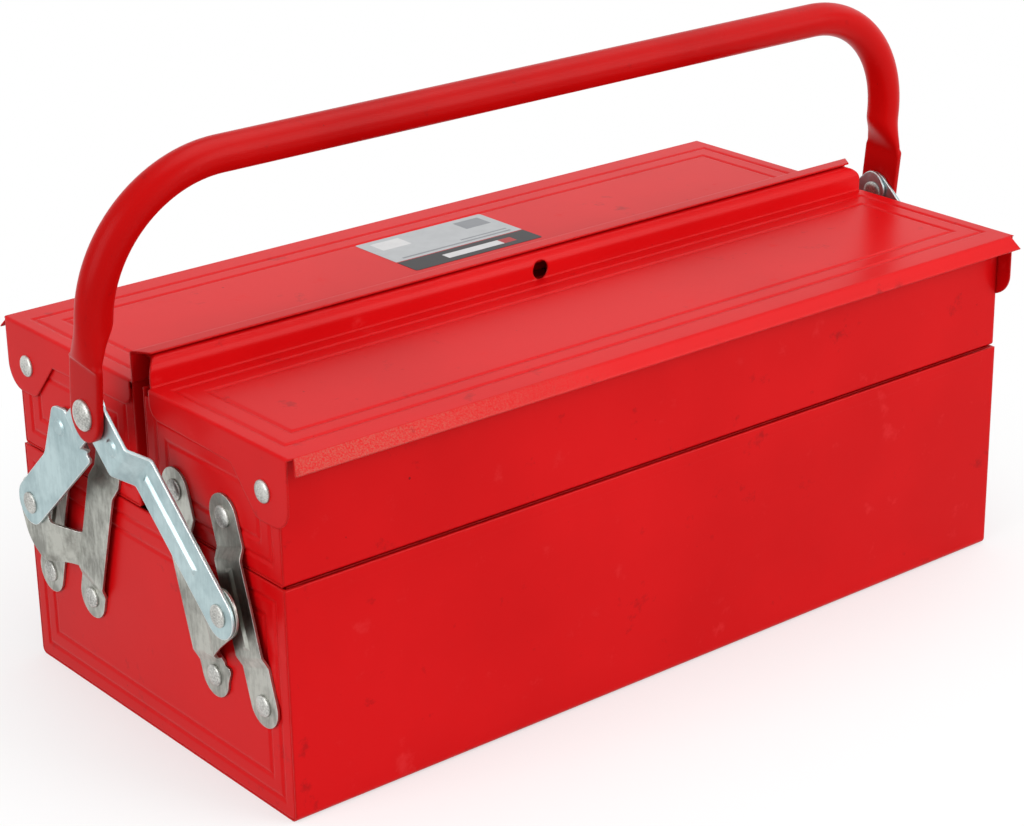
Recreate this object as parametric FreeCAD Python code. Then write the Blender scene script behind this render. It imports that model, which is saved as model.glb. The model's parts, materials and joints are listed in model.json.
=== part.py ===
"""Three-tray cantilever tool box in pressed sheet steel.

Frame: X runs along the box, the front long side faces -Y, +Z is up, and the
origin is the middle of the underside. Lengths are in millimetres, angles in
degrees. Pieces are drawn for the left end (-X) and the front side (-Y), then
mirrored to the right end and the rear side.
"""
import FreeCAD, Part

import math
import os

os.makedirs("parts", exist_ok=True)
Vector = FreeCAD.Vector

# Base
base_length = 420.0
base_width = 206.0
base_height = 105.3
sheet = 0.7
fold_radius = 0.6
shell_corner_radius = 3.0
end_flange_depth = 9.0
end_edge_chamfer = 0.5
hem_depth = 6.0

# Border lines pressed into the ends and the lids
bead_count = 2
bead_half_width = 1.5
bead_depth = 0.55
bead_margin = 0.15
end_bead_inset = 8.0
end_bead_spacing = 8.0
lid_bead_inset = 8.0
lid_bead_spacing = 10.0
lid_bead_lip_margin = 5.0

# Trays
tray_side_inset = 1.0
tray_end_inset = 0.4
tray_gap = 8.0
tray_lift = 0.7
tray_depth = 53.5
tray_corner_radius = 1.8

# Lids
lid_rise = 4.0
lid_rest_gap = 0.2
lid_end_clearance = 0.5
lid_overhang = 8.5
lid_lip_out = 4.4
lid_lip_drop = 5.6
lid_lip_end_slant = 3.4
flange_drop = 12.2
flange_edge_inset = 0.8
flange_corner_radius = 10.0
tab_drop = 32.3
tab_inner_reach = 23.5
tab_notch_reach = 40.5
tab_notch_rise = 1.4
tab_outer_radius = 13.0
tab_inner_radius = 7.0
rear_flange_end = 5.0

# Ridge where the lids meet, over the gap between the trays
front_ridge_y = 10.0
front_ridge_rise = 11.9
front_ridge_radius = 6.5
front_ridge_reach = 1.0
front_ridge_end_inset = 1.5
front_ridge_end_radius = 9.0
rear_ridge_y = 2.6
rear_ridge_rise = 13.6
rear_lip_reach = 5.5
rear_lip_slant = 5.0
padlock_hole_diameter = 9.0
padlock_hole_rise = 4.6

# Lid hinges
hinge_inset = 9.4
hinge_drop = 14.0

# Links between base and trays
link_sheet = 1.2
link_half_width = 9.8
link_bend_radius = 1.5
link_seat_gap = 0.2
link_raise = 2.2
link_lean = 17.0
base_pivot_drop = 57.3
tray_pivot_rise = 18.5
outer_pivot_inset = 17.5
link_spacing = 36.0
outer_low_joggle = 19.0
inner_low_joggle = 9.0
high_joggle = 15.5
link_joggle_length = 5.0
link_rib_half_width = 2.8
link_rib_height = 0.9
link_rib_margin = 5.0

# Ears of the inner links, in the link's own frame: across it and along it
ear_across = 36.6
ear_along = 31.7
ear_radius = 11.0
ear_raise = 11.2
ear_ramp_start = 11.0
ear_ramp_end = 23.0

# Arms from the ears to the handle pivot
arm_sheet = 1.4
arm_half_width = 10.2
arm_bend_radius = 2.0
arm_seat_gap = 0.2
arm_flat_length = 69.0
arm_joggle_length = 7.6
arm_raise = 6.8
arm_bead_half_width = 2.5
arm_bead_height = 1.1
arm_bead_start = 20.0
arm_bead_end_gap = 2.0
arm_dimple_radius = 4.0
arm_dimple_height = 0.9
front_dimple_gap = 6.0
front_dimple_across = 1.5
rear_dimple_gap = 14.7
rear_dimple_across = 12.8

# Handle
handle_pivot_drop = 3.0
handle_tube_diameter = 16.0
handle_tube_wall = 1.4
handle_height = 101.5
handle_bend_radius = 60.0
handle_lean = 6.3
handle_plate_width = 20.4
handle_plate_thickness = 3.2
handle_plate_gap = 0.2
handle_end_reach = 12.0
handle_flat_length = 22.0
handle_swage_length = 16.0
handle_swage_radius = 9.0
handle_step = 2.4
handle_step_length = 1.2

# Rivets: head diameters, head heights and shanks
link_rivet_head = 9.6
link_rivet_height = 1.7
link_rivet_shank = 5.0
hinge_rivet_head = 9.8
hinge_rivet_height = 1.9
hinge_rivet_shank = 4.5
arm_rivet_head = 10.0
arm_rivet_height = 1.5
arm_rivet_shank = 6.0
handle_rivet_head = 13.6
handle_rivet_height = 2.6
handle_rivet_shank = 7.0
rivet_gap = 0.05
plain_round_sides = 16
pivot_clearance = 0.06
floating_hole_clearance = 0.95

# Shares: outline corners as (across, along, radius) shares of the named sizes
straight_share = 0.999
corner_room_share = 0.4999
coincidence_share = 0.001
rib_crest_share = 0.35
dimple_crest_share = 0.75
# of ear_across, ear_along and ear_radius
front_ear_shares = [
    (0, 1.5, 0), (0, 0.33, 0), (0.19, 0.27, 0.3), (0.45, 0.31, 1.5), (0.79, 0.54, 2.0),
    (1.3, 0.8, 1.0), (1.3, 1.35, 1.0), (0.75, 1.35, 0.8), (0.27, 1.5, 0.4)]
rear_ear_shares = [
    (0, 1.5, 0), (0, 0.36, 0), (0.19, 0.37, 0.3), (0.4, 0.35, 1.5), (0.66, 0.24, 1.5),
    (1.02, 0.33, 1.5), (1.3, 0.75, 1.2), (1.3, 1.35, 1.0), (0.68, 1.35, 0.9),
    (0.68, 0.93, 0.45), (0.24, 0.93, 0.35), (0.24, 1.5, 0)]
# of link_half_width
hook_shares = [(0, 0.5, 0), (0.57, 0.68, 0.1), (1.43, 0.27, 0.2), (0.95, -0.32, 0.3), (0, -0.5, 0)]
# across and radius of arm_half_width, along of arm_length
front_arm_shares = [(1, -0.101, 1), (-1, -0.101, 1), (-1, 1.101, 1), (1, 1.101, 1)]
rear_arm_shares = [
    (1, -0.101, 1), (-1, -0.101, 1), (-0.96, 0.668, 0.15), (-0.56, 0.648, 0.3), (-0.56, 1.08, 0.6),
    (1, 1.101, 1), (1, 0.62, 0.25), (1.52, 0.648, 0.35), (2.22, 0.559, 0.45), (1.03, 0.317, 1.0)]

# Places that follow from the sizes above
half_length = base_length / 2
half_width = base_width / 2
tray_floor_z = base_height + tray_lift
tray_rim_z = tray_floor_z + tray_depth
tray_half_length = half_length - tray_end_inset
tray_outer_y = half_width - tray_side_inset
tray_inner_y = tray_gap / 2
lid_under_z = tray_rim_z + lid_rise
lid_top_z = lid_under_z + sheet
lid_inside_x = tray_half_length + lid_end_clearance
lid_outside_x = lid_inside_x + sheet
lid_outer_y = tray_outer_y + lid_overhang
hinge_y = tray_outer_y - hinge_inset
hinge_z = tray_rim_z - hinge_drop
base_pivot_z = base_height - base_pivot_drop
tray_pivot_z = tray_floor_z + tray_pivot_rise
outer_pivot_y = half_width - outer_pivot_inset
inner_pivot_y = outer_pivot_y - link_spacing
lean = math.radians(link_lean)
link_pitch = (tray_pivot_z - base_pivot_z) / math.cos(lean)
pivot_shift = link_pitch * math.sin(lean)
handle_pivot_z = tray_rim_z - handle_pivot_drop
ear_y = inner_pivot_y + ear_across * math.cos(lean) - ear_along * math.sin(lean)
ear_z = base_pivot_z + ear_across * math.sin(lean) + ear_along * math.cos(lean)
arm_length = math.hypot(ear_y, handle_pivot_z - ear_z)
arm_slope = math.degrees(math.atan2(ear_y, handle_pivot_z - ear_z))

# Depths outboard of the base's end walls
tray_face = -tray_end_inset
link_seat = link_seat_gap
link_tray_seat = tray_face + link_seat_gap
link_middle = link_seat + link_raise
ear_seat = link_seat + ear_raise
arm_seat = ear_seat + link_sheet + arm_seat_gap
rear_arm_top = arm_seat + arm_raise
front_arm_top = rear_arm_top + arm_sheet + arm_seat_gap
handle_plate_seat = front_arm_top + arm_sheet + handle_plate_gap
handle_plate_outer = handle_plate_seat + handle_plate_thickness
handle_leg_x = half_length + handle_plate_outer + handle_step - handle_tube_diameter / 2


def point(a, b, plane, level):
    """The point (a, b) of a drawing plane at a level along the plane's normal."""
    if plane == "YZ":
        return Vector(level, a, b)
    if plane == "XZ":
        return Vector(a, level, b)
    return Vector(a, b, level)


def outline(corners, plane, level):
    """A closed wire through corners (a, b, radius), rounded where radius is over zero."""
    count = len(corners)
    starts = []
    ends = []
    tops = []
    for index, (a, b, radius) in enumerate(corners):
        here = Vector(a, b, 0)
        before = Vector(*corners[index - 1][:2], 0) - here
        after = Vector(*corners[(index + 1) % count][:2], 0) - here
        turn = before.getAngle(after)
        if radius <= 0 or turn > math.pi * straight_share:
            starts.append(here)
            ends.append(here)
            tops.append(None)
            continue
        room = min(before.Length, after.Length) * corner_room_share
        tangent = min(radius / math.tan(turn / 2), room)
        fitted = tangent * math.tan(turn / 2)
        before.normalize()
        after.normalize()
        middle = before + after
        middle.normalize()
        starts.append(here + before * tangent)
        ends.append(here + after * tangent)
        tops.append(here + middle * (fitted / math.sin(turn / 2) - fitted))
    edges = []
    for index in range(count):
        first = point(starts[index].x, starts[index].y, plane, level)
        last = point(ends[index].x, ends[index].y, plane, level)
        following = starts[(index + 1) % count]
        if tops[index] is not None:
            top = point(tops[index].x, tops[index].y, plane, level)
            edges.append(Part.Arc(first, top, last).toShape())
        target = point(following.x, following.y, plane, level)
        if (target - last).Length > coincidence_share * sheet:
            edges.append(Part.LineSegment(last, target).toShape())
    return Part.Wire(edges)


def plate(corners, plane, level, depth):
    """A rounded outline pushed along its plane's normal by a depth."""
    face = Part.Face(outline(corners, plane, level))
    return face.extrude(point(0, 0, plane, depth))


def folded_profile(path, thickness):
    """Corners of a folded strip: the path (a, b, bend radius) is its right-hand face."""
    near = []
    far = []
    last = len(path) - 1
    for index, (a, b, bend) in enumerate(path):
        here = Vector(a, b, 0)
        into = here - Vector(*path[max(index - 1, 0)][:2], 0)
        out = Vector(*path[min(index + 1, last)][:2], 0) - here
        if index == 0:
            into = out
        if index == last:
            out = into
        into.normalize()
        out.normalize()
        middle = into + out
        middle.normalize()
        reach = thickness / middle.dot(into)
        near_radius = bend
        far_radius = bend + thickness
        if into.x * out.y - into.y * out.x > 0:
            near_radius = bend + thickness
            far_radius = bend
        if index in (0, last):
            near_radius = 0
            far_radius = 0
        near.append((a, b, near_radius))
        far.append((a - middle.y * reach, b + middle.x * reach, far_radius))
    return near + far[::-1]


def cylinder_x(radius, x0, x1, y, z):
    """A cylinder along X from x0 to x1."""
    return Part.makeCylinder(radius, x1 - x0, Vector(x0, y, z), Vector(1, 0, 0))


def to_right(shape):
    return shape.mirror(Vector(0, 0, 0), Vector(1, 0, 0))


def to_rear(shape):
    return shape.mirror(Vector(0, 0, 0), Vector(0, 1, 0))


def rectangle(bounds, spread, plane, level):
    """The wire around bounds, grown by spread."""
    a0, a1, b0, b1 = bounds
    corners = [(a0 - spread, b0 - spread, 0), (a1 + spread, b0 - spread, 0),
               (a1 + spread, b1 + spread, 0), (a0 - spread, b1 + spread, 0)]
    return outline(corners, plane, level)


def vee_ring(bounds, half_width, plane, base, tip):
    """A ring of triangular section along a rectangle, from its base level to its tip."""
    blocks = []
    for spread in (half_width, -half_width):
        wires = [rectangle(bounds, spread, plane, base), rectangle(bounds, 0, plane, tip)]
        blocks.append(Part.makeLoft(wires, True, True))
    return blocks[0].cut(blocks[1])


def pressed_border(panel, bounds, plane, level, into, inset, spacing):
    """Press nested border lines into a sheet panel from a level, so that its back swells."""
    a0, a1, b0, b1 = bounds
    half_width = bead_half_width * (bead_depth + bead_margin) / bead_depth
    for step in range(bead_count):
        reach = inset + step * spacing
        ring = (a0 + reach, a1 - reach, b0 + reach, b1 - reach)
        swelling = vee_ring(ring, half_width, plane, level + into * (sheet - bead_margin),
                            level + into * (sheet + bead_depth))
        groove = vee_ring(ring, half_width, plane, level - into * bead_margin, level + into * bead_depth)
        panel = panel.fuse(swelling).cut(groove)
    return panel


def hem(y_wall, inwards, z_rim, run):
    """A folded hem strip on the inner side of a long wall, from -run to run."""
    y0 = y_wall + inwards * sheet
    y1 = y0 + inwards * sheet
    return plate([(y0, z_rim, 0), (y0, z_rim - hem_depth, 0), (y1, z_rim - hem_depth, 0), (y1, z_rim, 0)],
                 "YZ", -run, 2 * run)


def trough(half, y_front, y_rear, z_floor, z_front, z_rear, bend):
    """Front wall, floor and rear wall folded from one sheet, with both rims hemmed inwards."""
    corners = [(y_front, z_front, 0), (y_front, z_floor, bend), (y_rear, z_floor, bend), (y_rear, z_rear, 0),
               (y_rear - sheet, z_rear, 0), (y_rear - sheet, z_floor + sheet, bend - sheet),
               (y_front + sheet, z_floor + sheet, bend - sheet), (y_front + sheet, z_front, 0)]
    shell = plate(corners, "YZ", -half, 2 * half)
    run = half - end_flange_depth
    shell = shell.fuse(hem(y_front, 1, z_front, run))
    return shell.fuse(hem(y_rear, -1, z_rear, run)).removeSplitter()


def end_panel(x_face, y_front, y_rear, z_floor, z_rim, bend):
    """A pressed end: a wall whose side and bottom flanges lie inside the folded shell."""
    y0 = y_front + sheet
    y1 = y_rear - sheet
    z0 = z_floor + sheet
    corner = bend - sheet
    block = plate([(y0, z_rim, 0), (y0, z0, corner), (y1, z0, corner), (y1, z_rim, 0)],
                  "YZ", x_face, end_flange_depth)
    edges = [edge for edge in block.Edges if on_face(edge, x_face) and edge.BoundBox.ZMin < z_rim - sheet]
    block = block.makeChamfer(end_edge_chamfer, edges)
    hollow = plate([(y0 + sheet, z_rim + sheet, 0), (y0 + sheet, z0 + sheet, corner - sheet),
                    (y1 - sheet, z0 + sheet, corner - sheet), (y1 - sheet, z_rim + sheet, 0)],
                   "YZ", x_face + sheet, end_flange_depth)
    rim_hem = Part.makeBox(sheet, y1 - y0 - 2 * sheet, hem_depth,
                           Vector(x_face + sheet, y0 + sheet, z_rim - hem_depth))
    panel = block.cut(hollow).fuse(rim_hem)
    bounds = (y_front, y_rear, z_floor, z_rim)
    return pressed_border(panel, bounds, "YZ", x_face, 1, end_bead_inset, end_bead_spacing)


def on_face(edge, x_face):
    return edge.BoundBox.XMax < x_face + coincidence_share * sheet


def many_sided(radius):
    """Corners (a, b, 0) of a plain round, for rivets and for a bore out of sight."""
    turns = [2 * math.pi * side / plain_round_sides for side in range(plain_round_sides)]
    return [(radius * math.cos(turn), radius * math.sin(turn), 0) for turn in turns]


def rod_x(radius, x0, x1, y, z):
    """A plain round rod along X from x0 to x1."""
    corners = [(y + a, z + b, 0) for a, b, sharp in many_sided(radius)]
    return plate(corners, "YZ", x0, x1 - x0)


def rivet(y, z, wall_face, top_face, head, height, shank):
    """A left end's rivet: its shank stands on one outer face, its head lies over another."""
    x_head = -half_length - top_face - rivet_gap
    pin = rod_x(shank / 2, x_head, -half_length - wall_face, y, z)
    return pin.fuse(rod_x(head / 2, x_head - height, x_head, y, z))


def rivets(places, wall_face, top_face, sizes):
    """The same rivet at each place (y, z) of both ends, as one set."""
    left = [rivet(y, z, wall_face, top_face, *sizes) for y, z in places]
    return Part.makeCompound(left + [to_right(solid) for solid in left])


def folded_strip(levels, thickness, bend, reach):
    """A strip along +Z whose inner face follows levels (along, depth outboard)."""
    path = [(-depth, along, bend) for along, depth in levels]
    return plate(folded_profile(path, thickness), "XZ", -reach, 2 * reach)


def stem_levels(low_joggle):
    """Depth of a link's inner face along it: flat on the base, raised, flat on the tray."""
    half = link_joggle_length / 2
    top = link_pitch - high_joggle
    past = 2 * link_half_width
    return [(-past, link_seat), (low_joggle - half, link_seat), (low_joggle + half, link_middle),
            (top - half, link_middle), (top + half, link_tray_seat), (link_pitch + past, link_tray_seat)]


def cutter(corners):
    """A block through every depth of a link or arm, from (across, along, radius) corners."""
    deep = front_arm_top + arm_sheet + ear_raise
    return plate([(-across, along, radius) for across, along, radius in corners], "YZ", -deep, 2 * deep)


def stem(low_joggle):
    """A plain link with round ends in its own frame: across it along -Y, along it +Z."""
    w = link_half_width
    strip = folded_strip(stem_levels(low_joggle), link_sheet, link_bend_radius, 2 * w)
    return strip.common(cutter([(w, -w, w), (-w, -w, w), (-w, link_pitch + w, w), (w, link_pitch + w, w)]))


def with_holes(solid, places, radius):
    """Drill holes (across, along) through a link or an arm."""
    deep = front_arm_top + arm_sheet + ear_raise
    for across, along in places:
        solid = solid.cut(cylinder_x(radius, -deep, deep, -across, along))
    return solid


def rib(seat, thickness, half_width, height, start, finish):
    """A pressed rib along +Z: the ridge that stands out and the relief behind it."""
    bars = []
    for face, past in ((seat + thickness, bead_margin), (seat, bead_margin)):
        foot = (-half_width, half_width, start, finish)
        crest_shift = -half_width * (1 - rib_crest_share)
        wires = [rectangle(foot, 0, "YZ", -face + past), rectangle(foot, crest_shift, "YZ", -face - height)]
        bars.append(Part.makeLoft(wires, True, True))
    return bars


def set_link(local, pivot_y):
    """Lean a link built in its own frame and set it on its front base pivot, left end."""
    placed = local.copy()
    placed.rotate(Vector(0, 0, 0), Vector(1, 0, 0), -link_lean)
    placed.translate(Vector(-half_length, -pivot_y, base_pivot_z))
    return placed


def outer_link():
    """Plain joggled link with a rib pressed along its raised middle."""
    start = outer_low_joggle + link_rib_margin
    finish = link_pitch - high_joggle - link_rib_margin
    ridge, relief = rib(link_middle, link_sheet, link_rib_half_width, link_rib_height, start, finish)
    link = stem(outer_low_joggle).fuse(ridge).cut(relief)
    link = with_holes(link, [(0, 0), (0, link_pitch)], link_rivet_shank / 2 + pivot_clearance)
    return set_link(link.removeSplitter(), outer_pivot_y)


def inner_link(ear_shares, with_hook):
    """Joggled stem with an ear folded further out, which carries the arm's pivot."""
    link = stem(inner_low_joggle)
    if with_hook:
        w = link_half_width
        corners = [(-across * w, along * w, radius * w) for across, along, radius in hook_shares]
        link = link.fuse(plate(corners, "YZ", -link_seat - link_sheet, link_sheet))
    reach = ear_across + 2 * ear_radius
    bend = link_bend_radius
    path = [(0, -link_middle, 0), (-ear_ramp_start, -link_middle, bend),
            (-ear_ramp_end, -ear_seat, bend), (-reach, -ear_seat, 0)]
    profile = [(b, a, radius) for a, b, radius in folded_profile(path, link_sheet)]
    ramp = plate(profile, "XY", 0, link_pitch)
    corners = [(across * ear_across, along * ear_along, radius * ear_radius)
               for across, along, radius in ear_shares]
    link = link.fuse(ramp.common(cutter(corners)))
    link = with_holes(link, [(0, 0), (0, link_pitch)], link_rivet_shank / 2 + pivot_clearance)
    return set_link(link.removeSplitter(), inner_pivot_y)


def arm_blank(shares, top, hole_clearance):
    """An arm in its own frame: flat at the ear, joggled out to its depth at the handle."""
    past = 2 * arm_half_width
    levels = [(-past, arm_seat), (arm_flat_length, arm_seat), (arm_flat_length + arm_joggle_length, top),
              (arm_length + past, top)]
    w = arm_half_width
    strip = folded_strip(levels, arm_sheet, arm_bend_radius, past + w)
    corners = [(across * w, along * arm_length, radius * w) for across, along, radius in shares]
    arm = strip.common(cutter(corners))
    arm = with_holes(arm, [(0, 0)], arm_rivet_shank / 2 + pivot_clearance)
    return with_holes(arm, [(0, arm_length)], handle_rivet_shank / 2 + hole_clearance)


def dimple(seat, across, along):
    """A shallow round bump on an arm's outer face."""
    crest = arm_dimple_radius * dimple_crest_share
    foot = Vector(-seat - arm_sheet, -across, along)
    return Part.makeCone(arm_dimple_radius, crest, arm_dimple_height, foot, Vector(-1, 0, 0))


def set_arm(local):
    """Turn an arm built in its own frame onto the front ear and the handle pivot, left end."""
    placed = local.copy()
    placed.rotate(Vector(0, 0, 0), Vector(1, 0, 0), -arm_slope)
    placed.translate(Vector(-half_length, -ear_y, ear_z))
    return placed


def front_arm():
    """Straight arm with a long raised bead and a bump past its joggle."""
    arm = arm_blank(front_arm_shares, front_arm_top, pivot_clearance)
    finish = arm_flat_length - arm_bead_end_gap
    ridge, relief = rib(arm_seat, arm_sheet, arm_bead_half_width, arm_bead_height, arm_bead_start, finish)
    along = arm_flat_length + arm_joggle_length + front_dimple_gap
    arm = arm.fuse(ridge).cut(relief).fuse(dimple(front_arm_top, front_dimple_across, along))
    return set_arm(arm.removeSplitter())


def rear_arm():
    """Arm with a lobe on its upper edge and a bump on the lobe, drawn on the front side."""
    arm = arm_blank(rear_arm_shares, rear_arm_top, floating_hole_clearance)
    arm = arm.fuse(dimple(arm_seat, rear_dimple_across, arm_flat_length - rear_dimple_gap))
    return set_arm(arm.removeSplitter())


def lid(ridge_path, ridge_trim, ridge_plane, flange_start, ridge_y):
    """One lid, front side: top, end flanges with hinge tabs, flared lip and meeting ridge."""
    cap_path = [(-lid_inside_x, lid_top_z - tab_drop - tab_inner_radius, 0),
                (-lid_inside_x, lid_under_z, fold_radius), (lid_inside_x, lid_under_z, fold_radius),
                (lid_inside_x, lid_top_z - tab_drop - tab_inner_radius, 0)]
    cap = plate(folded_profile(cap_path, sheet), "XZ", -lid_outer_y, lid_outer_y - ridge_y)
    low = lid_top_z - flange_drop
    tab_low = lid_top_z - tab_drop
    edge_y = -lid_outer_y + flange_edge_inset
    above = lid_top_z + sheet
    flange = flange_start + [(-lid_outer_y + tab_notch_reach, low - tab_notch_rise, fold_radius),
                             (-lid_outer_y + tab_inner_reach, tab_low, tab_inner_radius),
                             (edge_y, tab_low, tab_outer_radius), (edge_y, lid_under_z, 0),
                             (-lid_outer_y - sheet, lid_under_z, 0), (-lid_outer_y - sheet, above, 0)]
    cap = cap.common(plate(flange, "YZ", -base_length, 2 * base_length))
    lip_path = [(-lid_outer_y - lid_lip_out, lid_under_z - lid_lip_drop, 0),
                (-lid_outer_y, lid_under_z, fold_radius), (-lid_outer_y + 2 * sheet, lid_under_z, 0)]
    lip = plate(folded_profile(lip_path, sheet), "YZ", -lid_outside_x, 2 * lid_outside_x)
    lip_low = lid_under_z - lid_lip_drop - sheet
    lip_top_x = lid_outside_x - lid_lip_end_slant
    lip_view = [(-lid_outside_x, lip_low, 0), (lid_outside_x, lip_low, 0), (lip_top_x, above, 0),
                (-lip_top_x, above, 0)]
    lip = lip.common(plate(lip_view, "XZ", -lid_outer_y - 2 * lid_lip_out, lid_outer_y))
    ridge = plate(folded_profile(ridge_path, sheet), "YZ", -lid_outside_x, 2 * lid_outside_x)
    trim_start = -lid_outer_y if ridge_plane == "XZ" else 0
    ridge = ridge.common(plate(ridge_trim, ridge_plane, trim_start, 2 * lid_outer_y))
    whole = cap.fuse(lip).fuse(ridge).removeSplitter()
    bounds = (-lid_outside_x, lid_outside_x, -lid_outer_y + lid_bead_lip_margin, -ridge_y)
    whole = pressed_border(whole, bounds, "XY", lid_top_z, -1, lid_bead_inset, lid_bead_spacing)
    radius = hinge_rivet_shank / 2 + pivot_clearance
    whole = whole.cut(cylinder_x(radius, -base_length, base_length, -hinge_y, hinge_z))
    hole = Part.makeCylinder(padlock_hole_diameter / 2, 2 * sheet,
                             Vector(0, -ridge_y - sheet / 2, lid_top_z + padlock_hole_rise), Vector(0, 1, 0))
    return whole.cut(hole)


def front_lid():
    """Lid whose ridge rises from its inner edge and turns back under the other lid's lip."""
    top = lid_top_z + front_ridge_rise
    ridge_path = [(-front_ridge_y - fold_radius, lid_under_z, 0),
                  (-front_ridge_y + sheet, lid_under_z, fold_radius),
                  (-front_ridge_y + sheet, top - sheet, front_ridge_radius),
                  (front_ridge_reach, top - sheet, 0)]
    end_x = lid_outside_x - front_ridge_end_inset
    trim = [(-end_x, lid_under_z - sheet, 0), (end_x, lid_under_z - sheet, 0),
            (end_x, top, front_ridge_end_radius), (-end_x, top, front_ridge_end_radius)]
    flange_start = [(-front_ridge_y, lid_top_z + sheet, 0),
                    (-front_ridge_y, lid_top_z - flange_drop, flange_corner_radius)]
    return lid(ridge_path, trim, "XZ", flange_start, front_ridge_y)


def rear_lid():
    """Lid whose taller ridge ends in a lip over the other one, drawn on the front side."""
    top = lid_top_z + rear_ridge_rise
    ridge_path = [(-rear_ridge_y - fold_radius, lid_under_z, 0),
                  (-rear_ridge_y + sheet, lid_under_z, fold_radius),
                  (-rear_ridge_y + sheet, top - sheet, fold_radius), (rear_lip_reach, top - sheet, 0)]
    trim = [(-lid_outside_x, -2 * rear_ridge_y, 0), (lid_outside_x, -2 * rear_ridge_y, 0),
            (lid_outside_x, -rear_ridge_y + sheet, 0), (lid_outside_x - rear_lip_slant, rear_lip_reach, 0),
            (-lid_outside_x + rear_lip_slant, rear_lip_reach, 0), (-lid_outside_x, -rear_ridge_y + sheet, 0)]
    flange_start = [(-rear_ridge_y, lid_top_z + sheet, 0), (-rear_ridge_y, lid_under_z, 0),
                    (-rear_flange_end, lid_under_z, 0),
                    (-rear_flange_end, lid_top_z - flange_drop, flange_corner_radius)]
    return lid(ridge_path, trim, "XY", flange_start, rear_ridge_y)


def bent_rod(section, leg_start):
    """A section carried up a leg, round its bend and along the grip, with the same at the right."""
    leg_end = handle_height - handle_bend_radius
    grip_half = handle_leg_x - handle_bend_radius
    centre = Vector(-grip_half, 0, leg_end)
    foot = section.translated(Vector(-handle_leg_x, 0, leg_start))
    knee = section.translated(Vector(-handle_leg_x, 0, leg_end))
    leg = foot.extrude(Vector(0, 0, leg_end - leg_start))
    bend = knee.revolve(centre, Vector(0, 1, 0), 90)
    grip = knee.rotated(centre, Vector(0, 1, 0), 90).extrude(Vector(2 * grip_half, 0, 0))
    rod = leg.fuse(bend).fuse(grip)
    return rod.fuse(to_right(leg)).fuse(to_right(bend)).removeSplitter()


def flattened_end():
    """A tube end pressed flat round the pivot, left leg, about the pivot line.

    The flat lies near the leg's outer side, where the round tube ends in a low rounded step,
    and the leg's inner side slopes in along the swage.
    """
    radius = handle_tube_diameter / 2
    wide = handle_plate_width / 2
    bend = handle_swage_radius
    flat_end = handle_flat_length
    swage_end = flat_end + handle_swage_length
    inner_x = -half_length - handle_plate_seat
    outer_x = -half_length - handle_plate_outer
    blend = math.sqrt(radius ** 2 - (radius - handle_step) ** 2)
    flat = plate([(wide, -handle_end_reach, wide), (wide, flat_end, bend), (blend, swage_end, 0),
                  (-blend, swage_end, 0), (-wide, flat_end, bend), (-wide, -handle_end_reach, wide)],
                 "YZ", outer_x, handle_plate_thickness)
    leg = Part.makeCylinder(radius, swage_end - flat_end, Vector(-handle_leg_x, 0, flat_end))
    low = flat_end - bend
    high = swage_end + bend
    side_view = [(outer_x, low, 0), (inner_x, low, 0), (inner_x, flat_end, bend),
                 (-handle_leg_x + radius, swage_end, bend), (-handle_leg_x + radius, high, 0),
                 (-handle_leg_x - radius, high, 0),
                 (-handle_leg_x - radius, flat_end + handle_step_length, 0), (outer_x, flat_end, 0)]
    end_view = [(-radius, flat_end, radius), (radius, flat_end, radius),
                (radius, high, 0), (-radius, high, 0)]
    leg = leg.common(plate(side_view, "XZ", -radius, 2 * radius))
    leg = leg.common(plate(end_view, "YZ", -handle_leg_x - radius, 2 * radius))
    return flat.fuse(leg)


def handle():
    """Bent tube handle, leaning a little to the front, with its flattened ends drilled."""
    swage_end = handle_flat_length + handle_swage_length
    radius = handle_tube_diameter / 2
    round_section = Part.Face(Part.Wire(Part.makeCircle(radius)))
    bore_section = Part.Face(outline(many_sided(radius - handle_tube_wall), "XY", 0))
    bore = bent_rod(bore_section, swage_end + handle_tube_wall)
    solid = bent_rod(round_section, swage_end).cut(bore)
    solid = solid.fuse(flattened_end()).fuse(to_right(flattened_end()))
    hole = cylinder_x(handle_rivet_shank / 2 + pivot_clearance, -base_length, base_length, 0, 0)
    solid = solid.cut(hole)
    solid.rotate(Vector(0, 0, 0), Vector(1, 0, 0), handle_lean)
    solid.translate(Vector(0, 0, handle_pivot_z))
    return solid


def handle_rivets():
    """Both ends' rivets through the arms and the handle, headed on both sides."""
    sizes = (handle_rivet_head, handle_rivet_height, handle_rivet_shank)
    inner_face = rear_arm_top - rivet_gap
    pins = rivets([(0, handle_pivot_z)], inner_face, handle_plate_outer, sizes)
    tail = rod_x(handle_rivet_head / 2, -half_length - inner_face,
                 -half_length - inner_face + handle_rivet_height / 2, 0, handle_pivot_z)
    return Part.makeCompound([pin.fuse(foot) for pin, foot in zip(pins.Solids, (tail, to_right(tail)))])


front_base_pivots = [(-inner_pivot_y, base_pivot_z), (-outer_pivot_y, base_pivot_z)]
front_tray_pivots = [(y + pivot_shift, tray_pivot_z) for y, z in front_base_pivots]
base_pivots = front_base_pivots + [(-y, z) for y, z in front_base_pivots]
link_rivet_sizes = (link_rivet_head, link_rivet_height, link_rivet_shank)
hinge_rivet_sizes = (hinge_rivet_head, hinge_rivet_height, hinge_rivet_shank)
arm_rivet_sizes = (arm_rivet_head, arm_rivet_height, arm_rivet_shank)

base_end = end_panel(-half_length, -half_width, half_width, 0, base_height, shell_corner_radius)
tray_shell = trough(tray_half_length, -tray_outer_y, -tray_inner_y, tray_floor_z,
                    tray_rim_z, lid_under_z - lid_rest_gap, tray_corner_radius)

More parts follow.
